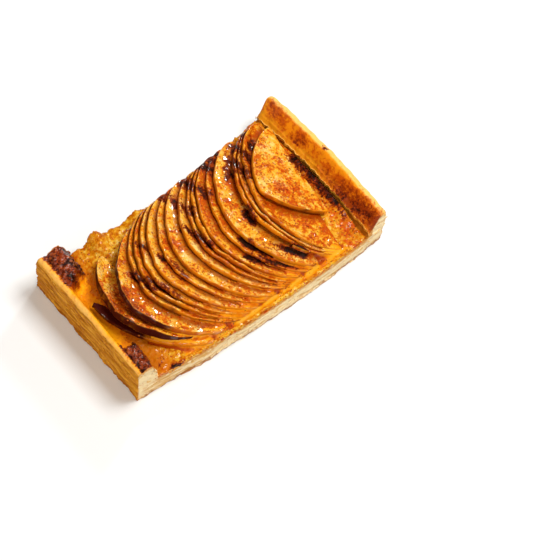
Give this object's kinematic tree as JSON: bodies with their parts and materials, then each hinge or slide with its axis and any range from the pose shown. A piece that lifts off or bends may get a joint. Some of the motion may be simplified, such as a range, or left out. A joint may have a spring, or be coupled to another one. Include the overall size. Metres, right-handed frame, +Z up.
{
  "type": "fruit puff pastry slice",
  "caption": "Rectangular slice of puff pastry with a raised dough strip along each end, a bed of almond cream and a fan of baked fruit slices.",
  "frame": {"origin": "centre of the bounding box at the flat underside", "axes": "+X along the length from the near strip to the far strip, +Y across from the front cut side to the back one, +Z up"},
  "size_m": [0.139, 0.0815, 0.0278],
  "materials": {
    "base_pastry": "flaky baked dough",
    "strip_pastry": "egg-washed baked dough",
    "almond_cream": "baked cream with syrup",
    "baked_fruit": "glazed baked fruit"
  },
  "bodies": {
    "root": {"pastry_base": "base_pastry", "near_end_strip": "strip_pastry", "far_end_strip": "strip_pastry", "cream_layer": "almond_cream", "fruit_slice_01": "baked_fruit", "fruit_slice_02": "baked_fruit", "fruit_slice_03": "baked_fruit", "fruit_slice_04": "baked_fruit", "fruit_slice_05": "baked_fruit", "fruit_slice_06": "baked_fruit", "fruit_slice_07": "baked_fruit", "fruit_slice_08": "baked_fruit", "fruit_slice_09": "baked_fruit", "fruit_slice_10": "baked_fruit", "fruit_slice_11": "baked_fruit", "fruit_slice_12": "baked_fruit", "fruit_slice_13": "baked_fruit", "fruit_slice_14": "baked_fruit", "fruit_slice_15": "baked_fruit", "fruit_slice_16": "baked_fruit", "fruit_slice_17": "baked_fruit", "fruit_slice_18": "baked_fruit", "fruit_slice_19": "baked_fruit"}
  },
  "joints": []
}
